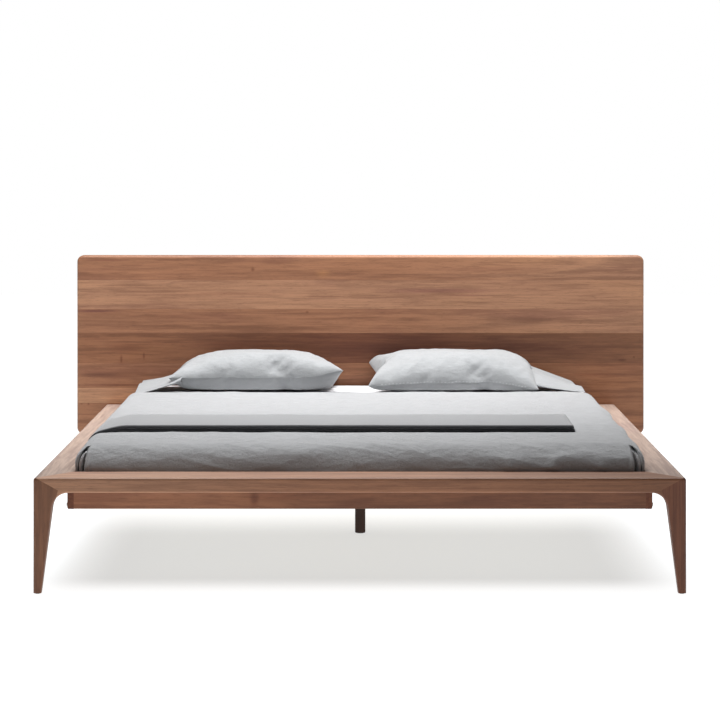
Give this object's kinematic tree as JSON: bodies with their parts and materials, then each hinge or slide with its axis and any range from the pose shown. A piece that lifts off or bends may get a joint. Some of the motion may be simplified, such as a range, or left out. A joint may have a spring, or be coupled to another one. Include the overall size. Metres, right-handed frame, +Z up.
{
  "type": "platform bed",
  "caption": "Low wooden platform bed with a plain panel headboard, a wide ledge round the mattress, tapered arched legs, a slatted base, coverlet, throw and pillows.",
  "frame": {"origin": "on the floor under the middle of the bed: the centre of the bottom of its overall box", "axes": "+X to the right of someone who stands at the foot end and looks at the headboard, along the bed's longest side; +Y from the foot end to the headboard; +Z up"},
  "size_m": [2.264, 2.226, 0.954],
  "materials": {
    "walnut_headboard": "oiled walnut boards, satin",
    "walnut_ledge": "oiled walnut, satin",
    "walnut_leg": "oiled walnut, satin",
    "walnut_apron": "oiled walnut, satin",
    "dark_post": "dark stained wood, matt",
    "pale_slat": "planed softwood, matt",
    "felt": "pressed felt",
    "zinc_steel": "zinc plated",
    "black_steel": "black powder coat",
    "ticking": "woven ticking",
    "white_sheet": "white cotton percale",
    "pale_coverlet": "washed linen",
    "grey_throw": "brushed wool",
    "pillow_filling": "cotton ticking",
    "grey_pillowcase": "washed linen"
  },
  "bodies": {
    "frame": {"apron_screws": "zinc_steel", "barrel_nuts": "zinc_steel", "bracket_screws": "zinc_steel", "centre_beam": "pale_slat", "centre_leg": "dark_post", "centre_leg_bolt": "zinc_steel", "cleat_screws": "zinc_steel", "connector_bolts": "zinc_steel", "felt_glides": "felt", "front_apron": "walnut_apron", "front_beam_bracket": "black_steel", "front_left_leg": "walnut_leg", "front_rail": "walnut_ledge", "front_right_leg": "walnut_leg", "headboard_board_1": "walnut_headboard", "headboard_board_2": "walnut_headboard", "headboard_board_3": "walnut_headboard", "headboard_board_4": "walnut_headboard", "headboard_board_5": "walnut_headboard", "headboard_board_6": "walnut_headboard", "headboard_board_7": "walnut_headboard", "headboard_bolts": "zinc_steel", "headboard_inserts": "zinc_steel", "left_apron": "walnut_apron", "left_cleat": "pale_slat", "left_rail": "walnut_ledge", "leg_dowels": "pale_slat", "mitre_splines": "pale_slat", "rear_beam_bracket": "black_steel", "rear_left_leg": "walnut_leg", "rear_rail": "walnut_ledge", "rear_right_leg": "walnut_leg", "right_apron": "walnut_apron", "right_cleat": "pale_slat", "right_rail": "walnut_ledge", "slat_01": "pale_slat", "slat_02": "pale_slat", "slat_03": "pale_slat", "slat_04": "pale_slat", "slat_05": "pale_slat", "slat_06": "pale_slat", "slat_07": "pale_slat", "slat_08": "pale_slat", "slat_09": "pale_slat", "slat_10": "pale_slat", "slat_11": "pale_slat", "slat_12": "pale_slat", "slat_13": "pale_slat", "slat_screws": "zinc_steel"},
    "mattress": {"mattress": "ticking", "fitted_sheet": "white_sheet", "coverlet": "pale_coverlet"},
    "throw": {"throw": "grey_throw"},
    "pillow_left": {"pillow_insert_left": "pillow_filling", "pillowcase_left": "grey_pillowcase"},
    "pillow_right": {"pillow_insert_right": "pillow_filling", "pillowcase_right": "grey_pillowcase"}
  },
  "joints": [
    {"name": "mattress_lift", "type": "slide", "parent": "frame", "child": "mattress", "axis": [0, 0, 1], "range_m": [0, 0.35]},
    {"name": "throw_lift", "type": "slide", "parent": "mattress", "child": "throw", "axis": [0, 0, 1], "range_m": [0, 0.3]},
    {"name": "pillow_left_lift", "type": "slide", "parent": "mattress", "child": "pillow_left", "axis": [0, 0, 1], "range_m": [0, 0.3]},
    {"name": "pillow_right_lift", "type": "slide", "parent": "mattress", "child": "pillow_right", "axis": [0, 0, 1], "range_m": [0, 0.3]}
  ]
}
